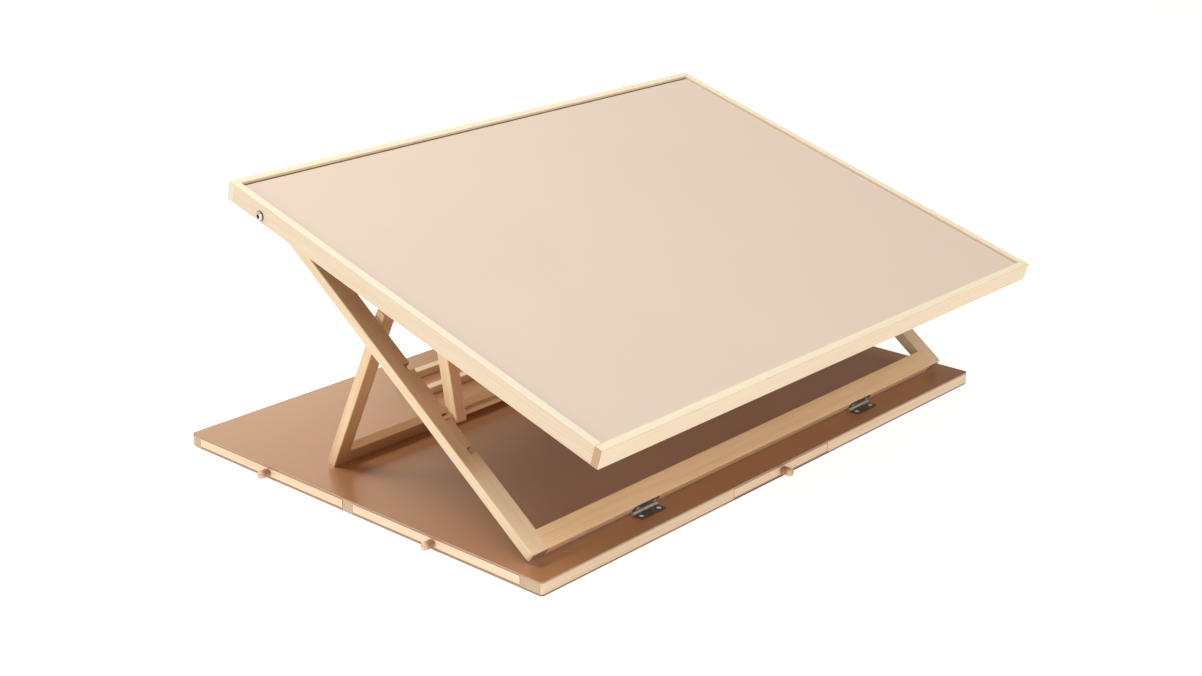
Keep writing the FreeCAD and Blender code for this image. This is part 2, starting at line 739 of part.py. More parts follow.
def pivot_hardware():
    shank = "rim_thick + board_side_gap + bolt_into_rail - pin_clearance"
    seat = (f"-{RIM_OUT}", "board_pivot_along", "-rail_thick / 2")
    bolt("board_pivot_bolt", shank, lift_frame.multiply(local_place(TOWARDS_LEFT, seat)))
    rail_middle = "-rail_thick / 2"
    board_gap = (f"-{RIM_IN}", f"-{RAIL_OUT}")
    spacer("board_pivot_spacer", lift_frame, *board_gap, "board_pivot_along", rail_middle)
    shank = "leg_wide + leg_side_gap + bolt_into_rail - pin_clearance"
    seat = (f"-{LEG_IN}", "leg_pivot_along", "-rail_thick / 2")
    bolt("leg_pivot_bolt", shank, lift_frame.multiply(local_place(ALONG_X, seat)))
    leg_gap = (f"-{RAIL_IN}", f"-{LEG_OUT}")
    spacer("leg_pivot_spacer", lift_frame, *leg_gap, "leg_pivot_along", rail_middle)


# Leg frame: two legs and a bottom rail that stands on the base
def legs():
    body = new_body("leg_left", leg_frame)
    low = (f"-{LEG_OUT}", "-leg_head_long", "-leg_thick / 2")
    box(body, "Additive", low, (f"-{LEG_IN}", "leg_foot_long", "leg_thick / 2"))
    head = -size("leg_head_long")
    rounded(body, "leg_head_rounding", runs("x", lambda at: same(at.y, head)))
    outside = -sheet_value(LEG_OUT)
    eased(body, "edge_chamfer", runs("y", lambda at: same(at.x, outside)))
    hole = (f"-{LEG_OUT} - overrun", "0", "0")
    cylinder(body, "Subtractive", ALONG_X, hole, "bolt_radius + pin_clearance", "leg_wide + 2 * overrun")
    mirrored("leg_right", body)
    rail = new_body("leg_bottom_rail", leg_frame)
    low = (f"-{LEG_IN}", "leg_foot_long - leg_wide", "-leg_thick / 2")
    box(rail, "Additive", low, (LEG_IN, "leg_foot_long", "leg_thick / 2"))
    top = sheet_value("leg_foot_long - leg_wide")
    rounded(rail, "edge_radius", runs("x", lambda at: same(at.y, top)))


# Board: a panel in the grooves of four rims, with a smooth sheet on it
PANEL_TOP = "-sheet_drop - sheet_thick"
PANEL_LOW = "-sheet_drop - sheet_thick - panel_thick"
PANEL_SIDE = f"({RIM_IN} + groove_deep)"


def cross_rim(node, low_y, high_y, groove_low, groove_high):
    """A rim along the front or the back, with a stopped groove on its inner side."""
    body = new_body(node, board_frame)
    box(body, "Additive", (f"-{RIM_OUT}", low_y, "-rim_tall"), (RIM_OUT, high_y, "0"))
    rounded(body, "edge_radius", lambda edge: runs("x")(edge) or runs("z")(edge))
    groove = (f"-{PANEL_SIDE}", groove_low, PANEL_LOW)
    box(body, "Subtractive", groove, (PANEL_SIDE, groove_high, PANEL_TOP))


def board():
    back_inside = "board_deep - rim_thick"
    groove_front = ("rim_thick - groove_deep", "rim_thick + overrun")
    groove_back = (f"{back_inside} - overrun", f"{back_inside} + groove_deep")
    cross_rim("board_front_rim", "0", "rim_thick", *groove_front)
    cross_rim("board_back_rim", back_inside, "board_deep", *groove_back)

    side = new_body("board_left_rim", board_frame)
    low = (f"-{RIM_OUT}", "rim_thick", "-rim_tall")
    box(side, "Additive", low, (f"-{RIM_IN}", back_inside, "0"))
    rounded(side, "edge_radius", runs("y"))
    groove_low = (f"-{PANEL_SIDE}", "rim_thick - overrun", PANEL_LOW)
    groove_high = (f"-{RIM_IN} + overrun", f"{back_inside} + overrun", PANEL_TOP)
    box(side, "Subtractive", groove_low, groove_high)
    hole = (f"-{RIM_OUT} - overrun", BOARD_PIVOT, "-board_pivot_drop")
    cylinder(side, "Subtractive", ALONG_X, hole, "bolt_radius + pin_clearance", "rim_thick + 2 * overrun")
    mirrored("board_right_rim", side)

    panel = new_body("board_panel", board_frame)
    low = (f"-{PANEL_SIDE}", "rim_thick - groove_deep", PANEL_LOW)
    box(panel, "Additive", low, (PANEL_SIDE, f"{back_inside} + groove_deep", PANEL_TOP))
    cover = new_body("board_sheet", board_frame)
    low = (f"-{RIM_IN}", "rim_thick", PANEL_TOP)
    box(cover, "Additive", low, (RIM_IN, back_inside, "-sheet_drop"))


# Prop: two posts joined by a dowel whose ends lie in the notches of the rails
def prop_posts():
    post = new_body("prop_post_left", prop_frame)
    low = (f"-{POST_OUT}", "0", "-post_deep / 2")
    high = (f"-{POST_IN}", "prop_long + post_below_dowel", "post_deep / 2")
    box(post, "Additive", low, high)
    cylinder(post, "Additive", ALONG_X, (f"-{POST_OUT}", "0", "0"), "post_deep / 2", "post_wide")
    foot = sheet_value("prop_long + post_below_dowel")
    foot_edge = runs("z", lambda at: same(at.y, foot))
    eased(post, "edge_chamfer", lambda edge: runs("y")(edge) or foot_edge(edge))
    holes = (("0", "prop_pin_radius"), ("prop_long", "dowel_radius"))
    for along, radius in holes:
        start = (f"-{POST_OUT} - overrun", along, "0")
        cylinder(post, "Subtractive", ALONG_X, start, f"{radius} + pin_clearance", "post_wide + 2 * overrun")
    mirrored("prop_post_right", post)


def prop_dowel():
    dowel = new_body("prop_dowel", prop_frame)
    reach = f"{RAIL_IN} + notch_into_rail - dowel_end_gap"
    start = (f"-({reach})", "prop_long", "0")
    cylinder(dowel, "Additive", ALONG_X, start, "dowel_radius", f"2 * ({reach})")
    eased(dowel, "edge_chamfer", circle_of(size("dowel_radius")))


def prop_blocks():
    """Blocks glued under the panel, which hold the pins of the posts."""
    block = new_body("prop_block", board_frame)
    near = f"-{POST_IN} + prop_block_side_gap"
    middle = PROP_PIVOT
    block_low = "-prop_pivot_drop - prop_block_below_pin"
    low = (near, f"{middle} - prop_block_deep / 2", block_low)
    box(block, "Additive", low, (f"{near} + prop_block_wide", f"{middle} + prop_block_deep / 2", PANEL_LOW))
    under = sheet_value(block_low)
    rounded(block, "prop_block_rounding", runs("x", lambda at: same(at.z, under)))
    hole = (f"{near} - overrun", middle, "-prop_pivot_drop")
    hole_long = "prop_block_wide + 2 * overrun"
    cylinder(block, "Subtractive", ALONG_X, hole, "prop_pin_radius + pin_clearance", hole_long)
    pair("prop_blocks", [block])


def prop_pins():
    pin = new_body("prop_pin")
    shank = "prop_pin_head_gap + post_wide + prop_block_side_gap + prop_block_wide"
    points = [
        ("0", f"-({shank})"),
        ("prop_pin_radius", f"-({shank})"),
        ("prop_pin_radius", "0"),
        ("prop_pin_head_radius", "0"),
        ("prop_pin_head_radius", "prop_pin_head_tall"),
        ("0", "prop_pin_head_tall"),
    ]
    turned(pin, points)
    seat = (f"-{POST_OUT} - prop_pin_head_gap", PROP_PIVOT, "-prop_pivot_drop")
    pin.Placement = board_frame.multiply(local_place(TOWARDS_LEFT, seat))
    pair("prop_pins", [pin])


def check(parts):
    """Stops when any feature failed or any sub-part isn't one or more sound solids."""
    for item in doc.Objects:
        if {"Invalid", "Error"} & set(item.State):
            raise RuntimeError(f"{item.Label} failed: {item.State}")
    for part in parts:
        if part.Shape.isNull() or not part.Shape.isValid() or not part.Shape.Solids:
            raise RuntimeError(f"{part.Label} has no sound shape")


base_top_sheet()
base_floor()
front_rail()
back_rail()
inner_rails()
stop_strip("stop_strip_front", STRIP_1)
stop_strip("stop_strip_rear", STRIP_2)
side_drawer("front", f"{FRONT} + front_rail_deep", MIDDLE_FRONT)
side_drawer("rear", MIDDLE_BACK, f"{BACK} - back_rail_deep")
front_drawer_long = "middle_rail_from_front - drawer_back_gap"
drawer("front", "front_drawer_wide", front_drawer_long, ALONG_Z, ("0", FRONT))
hinges()
lift_rails()
lift_bottom_rail()
pivot_hardware()
legs()
board()
prop_posts()
prop_dowel()
prop_blocks()
prop_pins()

doc.recompute()
check(PIECES)
os.makedirs("parts", exist_ok=True)
for piece in PIECES:
    piece.Shape.exportStep(f"parts/{piece.Label}.step")

print(f"{len(PIECES)} nodes written")
for title, point in (
    ("hinge line", hinge_line),
    ("leg pivot", leg_pivot),
    ("board pivot", board_pivot),
    ("prop pivot", prop_pivot),
    ("dowel", dowel_centre),
):
    print(f"{title}: y {point.y:.3f}, z {point.z:.3f}")
print(f"leg length {leg_foot_long:.3f}, prop angle {prop_angle:.3f}, prop length {prop_step.Length:.3f}")
print(f"base depth {size('base_deep'):.3f}")
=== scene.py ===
import json
import math

import bmesh
import bpy
import numpy as np
from mathutils import Matrix, Vector


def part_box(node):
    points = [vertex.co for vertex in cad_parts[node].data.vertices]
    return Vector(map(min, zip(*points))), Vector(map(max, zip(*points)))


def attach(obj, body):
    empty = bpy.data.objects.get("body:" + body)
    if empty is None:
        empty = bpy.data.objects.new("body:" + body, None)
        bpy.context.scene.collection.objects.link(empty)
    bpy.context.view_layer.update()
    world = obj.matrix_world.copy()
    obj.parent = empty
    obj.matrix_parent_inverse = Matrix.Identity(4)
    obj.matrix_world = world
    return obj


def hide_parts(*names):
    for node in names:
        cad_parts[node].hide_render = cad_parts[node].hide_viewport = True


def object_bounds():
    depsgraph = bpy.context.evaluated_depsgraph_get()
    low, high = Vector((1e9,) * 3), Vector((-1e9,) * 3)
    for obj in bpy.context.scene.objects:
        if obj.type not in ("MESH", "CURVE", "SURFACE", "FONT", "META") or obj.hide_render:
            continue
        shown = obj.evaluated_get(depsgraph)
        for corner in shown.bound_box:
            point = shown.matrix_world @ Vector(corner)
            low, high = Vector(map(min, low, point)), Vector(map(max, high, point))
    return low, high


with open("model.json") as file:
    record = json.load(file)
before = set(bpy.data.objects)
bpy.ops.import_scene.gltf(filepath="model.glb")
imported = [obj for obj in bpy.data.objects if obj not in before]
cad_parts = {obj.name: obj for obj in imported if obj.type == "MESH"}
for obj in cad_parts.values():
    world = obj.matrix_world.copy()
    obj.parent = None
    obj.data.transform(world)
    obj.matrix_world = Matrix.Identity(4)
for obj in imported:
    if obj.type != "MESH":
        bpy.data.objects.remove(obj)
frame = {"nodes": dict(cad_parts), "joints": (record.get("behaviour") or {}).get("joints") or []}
cad_box = [list(corner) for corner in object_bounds()]

# The camera stands to the left of the front corner and looks down a little, as
# the photograph was taken. Its angles are in degrees and its place in metres.
CAMERA_PLACE = Vector((-1.5015, -1.3892, 0.8286))
CAMERA_AZIMUTH = math.radians(-47.4547)
CAMERA_ELEVATION = math.radians(19.6922)
CAMERA_ROLL = math.radians(-0.4111)
LENS_MM = 54.9
SENSOR_MM = 36.0

backwards = Vector((
    math.sin(CAMERA_AZIMUTH) * math.cos(CAMERA_ELEVATION),
    -math.cos(CAMERA_AZIMUTH) * math.cos(CAMERA_ELEVATION),
    math.sin(CAMERA_ELEVATION),
))
rightwards = (-backwards).cross(Vector((0, 0, 1))).normalized()
upwards = rightwards.cross(-backwards)
turned_right = math.cos(CAMERA_ROLL) * rightwards + math.sin(CAMERA_ROLL) * upwards
turned_up = math.cos(CAMERA_ROLL) * upwards - math.sin(CAMERA_ROLL) * rightwards
camera = bpy.data.objects.new("camera", bpy.data.cameras.new("camera"))
camera.data.lens = LENS_MM
camera.data.sensor_width = SENSOR_MM
camera.data.clip_end = 200
camera.matrix_world = Matrix((turned_right, turned_up, backwards)).transposed().to_4x4()
camera.location = CAMERA_PLACE
bpy.context.scene.collection.objects.link(camera)
bpy.context.scene.camera = camera
bpy.context.scene.view_settings.view_transform = "Standard"

# The studio: a dim warm surround, a soft light high behind, a low one on the left,
# one in front, a warm one far behind that the satin base mirrors, and a white
# floor that glows. Each light is a name, a place, a side, watts and a colour.
SURROUND_STRENGTH = 0.29
SURROUND_WARM = (1.0, 0.95, 0.88, 1)
WHITE = (1.0, 1.0, 1.0)
WARM = (1.0, 0.85, 0.66)
LIGHTS = (
    ("high_light", (-0.9, 1.3, 2.7), 1.3, 59, WHITE),
    ("left_light", (-2.8, -0.3, 0.8), 1.4, 26, WHITE),
    ("front_light", (0.5, -2.7, 2.1), 1.8, 36, WHITE),
    ("back_light", (1.5, 3.2, 0.9), 1.6, 23, WARM),
)
FLOOR_REACH = 30.0
FLOOR_GAP = 0.0002
FLOOR_WHITE = (0.60, 0.60, 0.60, 1)
FLOOR_GLOW = 0.72

world = bpy.data.worlds.new("studio")
world.use_nodes = True
world.node_tree.nodes["Background"].inputs["Color"].default_value = SURROUND_WARM
world.node_tree.nodes["Background"].inputs["Strength"].default_value = SURROUND_STRENGTH
bpy.context.scene.world = world


def soft_light(name, place, side, watts, colour):
    """A square light of that side, turned so that it faces the middle of the table."""
    lamp = bpy.data.objects.new(name, bpy.data.lights.new(name, "AREA"))
    lamp.data.size = side
    lamp.data.energy = watts
    lamp.data.color = colour
    lamp.location = place
    lamp.rotation_euler = Vector(place).to_track_quat("Z", "Y").to_euler()
    bpy.context.scene.collection.objects.link(lamp)


for light in LIGHTS:
    soft_light(*light)


def grid_mesh(name, points, closed=False):
    """A mesh of four-sided faces over a grid of points, shaped (rows, columns, 3).

    Face (i, j) joins point (i, j) with its next row and column; closed also joins
    the last column with the first.
    """
    rows, columns = points.shape[:2]
    number = np.arange(rows * columns).reshape(rows, columns)
    if closed:
        number = np.hstack([number, number[:, :1]])
    corners = (number[:-1, :-1], number[:-1, 1:], number[1:, 1:], number[1:, :-1])
    faces = np.stack(corners, axis=-1).reshape(-1, 4)
    mesh = bpy.data.meshes.new(name)
    mesh.from_pydata(points.reshape(-1, 3).tolist(), [], faces.tolist())
    piece = bpy.data.objects.new(name, mesh)
    bpy.context.scene.collection.objects.link(piece)
    return piece


span = np.linspace(-FLOOR_REACH, FLOOR_REACH, 3)
floor_y, floor_x = np.meshgrid(span, span, indexing="ij")
floor = grid_mesh("floor", np.stack([floor_x, floor_y, np.zeros_like(floor_x)], axis=-1))
floor.location.z = cad_box[0][2] - FLOOR_GAP
floor_paint = bpy.data.materials.new("floor_paint")
floor_paint.use_nodes = True
floor_shader = floor_paint.node_tree.nodes["Principled BSDF"]
floor_shader.inputs["Base Color"].default_value = FLOOR_WHITE
floor_shader.inputs["Roughness"].default_value = 1.0
floor_shader.inputs["Specular IOR Level"].default_value = 0.0
floor_shader.inputs["Emission Color"].default_value = (1, 1, 1, 1)
floor_shader.inputs["Emission Strength"].default_value = FLOOR_GLOW
floor.data.materials.append(floor_paint)

# The base is a shallow box: planed pale rails, butted at the corners and glued.
# The back rail runs the full width and the front ones up to the front drawer.
# Middle rails and runners between them part the drawers. All are sanded soft.
BASE_PALE = (240, 215, 184)
BASE_DARK = (205, 168, 130)
BASE_END = (222, 187, 152)
BASE_SEAM_SHADE_END = (150, 108, 76)
MM = 0.001
RING_WIDE = 2.3 * MM
RING_WOBBLE = 10.0 * MM
RING_TAPER = 0.004
WOOD_RELIEF = 0.12 * MM
STREAK_DARKER = 0.7
SANDED = 0.35 * MM
SHARP_EDGE = math.radians(50)
LOOSE_FACES = 0.004 * MM
# Painted shade along the front rails' lower edge: its height, its brown and its strength.
PAINTED_SHADE_TALL = 1.5 * MM
PAINTED_SHADE_BROWN = (112, 88, 68)
PAINTED_SHADE_SHARE = 0.85

# How many grains of each pattern a metre holds, along the wood and across it.
WOBBLES = (2.2, 14, 14)
CLOUDS = (3.5, 34, 34)
FIBRES = (16, 760, 760)
PORES = (120, 2600, 2600)


class Value:
    """A socket of a material's nodes; sums and products of values add Math nodes."""

    def __init__(self, socket):
        self.socket = socket

    def node(self, kind, settings, inputs, output=0):
        """Adds a node: its settings first, then a number or a value for each input."""
        tree = self.socket.id_data
        made = tree.nodes.new("ShaderNode" + kind)
        for name, setting in settings.items():
            setattr(made, name, setting)
        for name, given in inputs.items():
            if isinstance(given, Value):
                tree.links.new(given.socket, made.inputs[name])
            else:
                made.inputs[name].default_value = given
        return Value(made.outputs[output]) if made.outputs else None

    def math(self, operation, other=0.0):
        """One Math node, on this value and the other."""
        return self.node("Math", {"operation": operation}, {0: self, 1: other})

    def __add__(self, other):
        return self.math("ADD", other)

    def __sub__(self, other):
        return self.math("SUBTRACT", other)

    def __rsub__(self, other):
        return self.node("Math", {"operation": "SUBTRACT"}, {0: other, 1: self})

    def __mul__(self, other):
        return self.math("MULTIPLY", other)

    def __truediv__(self, other):
        return self.math("DIVIDE", other)

    def __pow__(self, other):
        return self.math("POWER", other)

    __radd__, __rmul__ = __add__, __mul__

    def step(self, low, high):
        """0 below low, 1 above high and smooth in between."""
        settings = {"interpolation_type": "SMOOTHSTEP"}
        return self.node("MapRange", settings, {"Value": self, "From Min": low, "From Max": high})

    def tint(self, first, second):
        """The first colour where this value is 0, the second where it is 1."""
        return self.node("Mix", {"data_type": "RGBA"}, {0: self, 6: first, 7: second}, 2)

    def turned(self, turn, shift=(0, 0, 0), kind="POINT"):
        """The vector turned about X, Y and Z; a point is shifted too, a direction isn't."""
        inputs = {"Vector": self, "Rotation": turn}
        if kind == "POINT":
            inputs["Location"] = shift
        return self.node("Mapping", {"vector_type": kind}, inputs)

    def noise(self, stretch, detail=2.0, rough=0.5):
        """Soft noise from 0 to 1 whose grains are 1 / stretch metres long each way."""
        scaled = self.node("VectorMath", {"operation": "MULTIPLY"}, {0: self, 1: stretch})
        inputs = {"Vector": scaled, "Scale": 1.0, "Detail": detail, "Roughness": rough}
        return self.node("TexNoise", {}, inputs)

    def part(self, axis):
        """One of the vector's three numbers."""
        return self.node("SeparateXYZ", {}, {"Vector": self}, "XYZ".index(axis))


def paint(red, green, blue):
    """A colour of 0 to 255 on screen, as the light that the shader counts in."""
    shares = [channel / 255 for channel in (red, green, blue)]
    return tuple(s / 12.92 if s <= 0.04045 else ((s + 0.055) / 1.055) ** 2.4 for s in shares) + (1.0,)


def new_material(name):
    """A bare material, and its object coordinates as a value."""
    material = bpy.data.materials.new(name)
    material.use_nodes = True
    material.node_tree.nodes.clear()
    reader = material.node_tree.nodes.new("ShaderNodeTexCoord")
    return material, Value(reader.outputs["Object"])


def facing(place):
    """The object normal, from the same node as the object coordinates."""
    return Value(place.socket.node.outputs["Normal"])


def finished(material, colour, roughness, relief, depth, **constants):
    """Ends a material with its shader; relief from 0 to 1 is depth metres deep."""
    normal = roughness.node("Bump", {}, {"Height": relief, "Distance": depth, "Strength": 1.0})
    inputs = {"Base Color": colour, "Roughness": roughness, "Normal": normal, **constants}
    shader = roughness.node("BsdfPrincipled", {}, inputs)
    roughness.node("OutputMaterial", {}, {"Surface": shader})
    return material


def wood(name, pale, dark, end, grain, seed, painted_sides=None, shade_from_height=None, painted_lit_foot=None):
    """Planed wood whose grain lies along the direction that grain turns into X.

    Growth rings are circles round a pith beside the piece, drawn out along the
    grain and wobbled by noise; fibres and pores are noise stretched along it. The
    seed picks how far off the pith lies, so no two pieces show the same rings.
    Its end shows the rings as dark streaks. The faces square to one axis may have
    two colours of their own, painted light and shade for how the lamps fall on
    those sides: one argument names the axis and both. A rail that stands on the
    table gets painted shade, dark brown up from its lower edge at a given height,
    for the shadow along its foot.
    Two places front to back may be given, between which the wood turns to two
    paler colours of its own: painted light where the board's shadow ends.
    """
    material, place = new_material(name)
    normal = facing(place)
    shift = (0.37 * seed % 5, 0.121 + 0.013 * (seed * 7 % 11), 0.018 + 0.006 * (seed * 5 % 9))
    along = place.turned(grain, shift)
    wobble = along.noise(WOBBLES, 3.0)
    across, up = along.part("Y"), along.part("Z")
    radius = (across * across + up * up) ** 0.5 + wobble * RING_WOBBLE + along.part("X") * RING_TAPER
    turn_of_ring = (radius / RING_WIDE).math("FRACT")
    # A ring darkens slowly towards its late wood, then turns pale at once.
    late_wood = turn_of_ring.step(0.25, 0.9) * (1 - turn_of_ring.step(0.92, 1.0))
    fibre = along.noise(FIBRES, 3.0, 0.65)
    cloud = along.noise(CLOUDS, 2.0)
    pores = along.noise(PORES, 1.0).step(0.62, 0.72)
    # The tone is mostly fibres, with rings that come and go in clouds, and pores.
    tone = late_wood * (0.05 + 0.30 * cloud) + pores * 0.12
    tone = tone + (fibre - 0.5) * 1.5 + (cloud - 0.5) * 0.6
    tone = (tone * 0.5 + 0.25).step(-0.1, 0.9)
    colour = tone.tint(paint(*pale), paint(*dark))
    # Painted light: paler wood in front of the board's shadow edge.
    if painted_lit_foot:
        shade_from_y, light_to_y, light_pale, light_dark = painted_lit_foot
        lit_share = 1 - place.part("Y").step(light_to_y, shade_from_y)
        colour = lit_share.tint(colour, tone.tint(paint(*light_pale), paint(*light_dark)))
    # Faces square to the axis take their own colours: painted light and shade.
    if painted_sides:
        axis, painted_side_pale, painted_side_dark = painted_sides
        painted_side_on = normal.part(axis).math("ABSOLUTE").step(0.5, 0.9)
        colour = painted_side_on.tint(colour, tone.tint(paint(*painted_side_pale), paint(*painted_side_dark)))
    end_dark = [STREAK_DARKER * channel for channel in end]
    end_colour = (late_wood * 0.9 + fibre * 0.3).tint(paint(*end), paint(*end_dark))
    end_on = normal.turned(grain, kind="VECTOR").part("X").math("ABSOLUTE")
    colour = end_on.step(0.8, 0.95).tint(colour, end_colour)
    # Painted shade, dark brown up from the lower edge, for the shadow along the rail's foot.
    if shade_from_height is not None:
        foot_shade = 1 - (place.part("Z") - shade_from_height).step(0.6 * PAINTED_SHADE_TALL, PAINTED_SHADE_TALL)
        colour = (foot_shade * PAINTED_SHADE_SHARE).tint(colour, paint(*PAINTED_SHADE_BROWN))
    roughness = 0.52 + 0.16 * fibre + 0.05 * late_wood
    return finished(material, colour, roughness, fibre * 0.7 + late_wood * 0.3, WOOD_RELIEF)


def dress(node, material, soften=None):
    """Gives a CAD node its material and, if asked, edges sanded to a small radius."""
    piece = frame["nodes"][node]
    piece.data.materials.clear()
    piece.data.materials.append(material)
    if soften:
        weld = piece.modifiers.new("joined_faces", "WELD")
        weld.merge_threshold = LOOSE_FACES
        sanded = piece.modifiers.new("sanded_edges", "BEVEL")
        sanded.width = soften
        sanded.segments = 2
        sanded.limit_method = "ANGLE"
        sanded.angle_limit = SHARP_EDGE


GRAIN_ACROSS = (0, 0, 0)
GRAIN_TO_BACK = (0, 0, -math.pi / 2)
BASE_WOOD = (
    ("front_rail_left", GRAIN_ACROSS),
    ("front_rail_right", GRAIN_ACROSS),
    ("back_rail", GRAIN_ACROSS),
    ("middle_rail_left", GRAIN_ACROSS),
    ("middle_rail_right", GRAIN_ACROSS),
    ("runner_left", GRAIN_TO_BACK),
    ("runner_right", GRAIN_TO_BACK),
)
for seed, (node, grain) in enumerate(BASE_WOOD, start=1):
    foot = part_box(node)[0][2] if node.startswith("front_rail") else None
    # The right front rail's end grain, seen in the seam beside the front drawer, is painted dark: painted
    # shade in that gap.
    end = BASE_SEAM_SHADE_END if node == "front_rail_right" else BASE_END
    rail_wood = wood(f"{node}_wood", BASE_PALE, BASE_DARK, end, grain, seed, shade_from_height=foot)
    dress(node, rail_wood, SANDED)

# The top and the floor of the base are thin brown boards with a smooth satin
# face. Their sawn edges show a paler core; the floor's front edge is painted
# dark, a painted shade for the shadow under the front rails.
SHEET_BROWN = (160, 111, 71)
SHEET_WARM = (168, 117, 76)
SHEET_CORE = (172, 136, 104)
BASE_FLOOR_BROWN = (120, 92, 74)
BASE_FLOOR_CORE = (176, 140, 106)
BASE_FLOOR_FRONT_SHADE = (84, 62, 48)
SMOOTH_RELIEF = 0.01 * MM


def sheet_board(name, brown, warm, front_edge, side_edge):
    """Smooth board: two browns in slow clouds under a fine speckle.

    Its edges have their own colours, told apart by where the surface faces.
    """
    material, place = new_material(name)
    normal = facing(place)
    cloud = place.noise((7, 7, 7), 2.0)
    speckle = place.noise((1500, 1500, 1500), 2.0, 0.7)
    face = (cloud * 0.7 + speckle * 0.3).step(0.2, 0.8).tint(paint(*brown), paint(*warm))
    sideways = normal.part("X").math("ABSOLUTE")
    upright = normal.part("Z").math("ABSOLUTE")
    edge = sideways.step(0.5, 0.9).tint(paint(*front_edge), paint(*side_edge))
    colour = upright.step(0.5, 0.9).tint(edge, face)
    roughness = 0.30 + 0.08 * speckle + 0.04 * cloud
    return finished(material, colour, roughness, speckle, SMOOTH_RELIEF, IOR=1.6)


top_board = sheet_board("top_board", SHEET_BROWN, SHEET_WARM, SHEET_CORE, SHEET_CORE)
dress("base_top_sheet", top_board, SANDED)
# The floor's front edge is painted dark: painted shade under the front rails.
floor_edges = (BASE_FLOOR_FRONT_SHADE, BASE_FLOOR_CORE)
floor_board = sheet_board("floor_board", BASE_FLOOR_BROWN, BASE_FLOOR_BROWN, *floor_edges)
dress("base_floor", floor_board)

# Two glued strips on the top catch the leg frame's foot where it is set further
# back, which lowers the board.
for seed, node in enumerate(("stop_strip_front", "stop_strip_rear"), start=11):
    dress(node, wood(f"{node}_wood", BASE_PALE, BASE_DARK, BASE_END, GRAIN_ACROSS, seed))

# Five shallow drawers: a solid face, three thin walls and a brown floor board
# that sits back under the face. Side drawers have their long grain to the back.
DRAWER_PALE = (240, 214, 184)
DRAWER_DARK = (216, 178, 140)
DRAWER_END = (160, 118, 84)
DRAWER_FLOOR_BROWN = (122, 84, 62)
DRAWERS = ("left_front", "left_rear", "right_front", "right_rear", "front")
WALL_SEED_STEP = 10
floor_browns = (DRAWER_FLOOR_BROWN, BASE_FLOOR_BROWN)
drawer_floor = sheet_board("drawer_floor_board", *floor_browns, BASE_FLOOR_CORE, BASE_FLOOR_CORE)
for seed, drawer in enumerate(DRAWERS, start=21):
    grain = GRAIN_ACROSS if drawer == "front" else GRAIN_TO_BACK
    face = wood(f"drawer_{drawer}_face_wood", DRAWER_PALE, DRAWER_DARK, DRAWER_END, grain, seed)
    dress(f"drawer_{drawer}_face", face, SANDED)
    wall_seed = seed + WALL_SEED_STEP
    walls = wood(f"drawer_{drawer}_wall_wood", BASE_PALE, BASE_DARK, BASE_END, grain, wall_seed)
    dress(f"drawer_{drawer}_walls", walls)
    dress(f"drawer_{drawer}_floor", drawer_floor)

# Each drawer has a small knob turned from reddish wood: a thin neck that is
# glued into the face, and a short round head whose front is painted paler, a
# painted highlight.
KNOB_PALE = (196, 148, 108)
KNOB_DARK = (138, 88, 58)
KNOB_HIGHLIGHT_PALE = (236, 202, 172)
KNOB_HIGHLIGHT_DARK = (208, 166, 132)
KNOB_NECK_RADIUS = 2.6 * MM
KNOB_BACK_RIM = 1.2 * MM
KNOB_FRONT_RIM = 4.0 * MM
KNOB_TENON = 7.0 * MM
KNOB_TENON_EDGE = 0.2 * MM
KNOB_NECK = 1.6 * MM
KNOB_NECK_EDGE = 0.3 * MM
KNOB_RING = 1.9 * MM
KNOB_RING_WOBBLE = 1.6 * MM
KNOB_RELIEF = 0.10 * MM
OUTWARDS = {"front": (0, -1, 0), "left": (-1, 0, 0), "right": (1, 0, 0)}
AROUND = 48
SAME_PLACE = 0.0001 * MM


def rounded_profile(corners, radii, steps=6):
    """An outline of (radius, height) corners, each eased by an arc of its radius.

    An arc is the quadratic curve from one side's tangent point through the corner
    to the other's, which is near enough to round at this size.
    """
    corners = np.asarray(corners, dtype=float)
    runs = [corners[:1]]
    share = np.linspace(0, 1, steps)[:, None]
    for before, corner, after, radius in zip(corners[:-2], corners[1:-1], corners[2:], radii):
        start = corner + (before - corner) / np.linalg.norm(before - corner) * radius
        end = corner + (after - corner) / np.linalg.norm(after - corner) * radius
        runs.append((1 - share) ** 2 * start + 2 * share * (1 - share) * corner + share ** 2 * end)
    runs.append(corners[-1:])
    return np.vstack(runs)


def full_turn(columns):
    """Equal angles round a circle, one for each column."""
    return np.arange(columns) * 2 * math.pi / columns


def turned_points(profile, columns=AROUND):
    """The profile carried round Z: x = radius cos t, y = radius sin t, z = height."""
    turn = full_turn(columns)
    radius, height = profile[:, :1], profile[:, 1:]
    return np.stack([radius * np.cos(turn), radius * np.sin(turn), height + 0 * turn], axis=-1)


def aimed(points, start, direction):
    """Points about Z moved so that Z runs from start along direction."""
    turn = np.array(Vector(direction).to_track_quat("Z", "Y").to_matrix())
    return points @ turn.T + np.array(start)


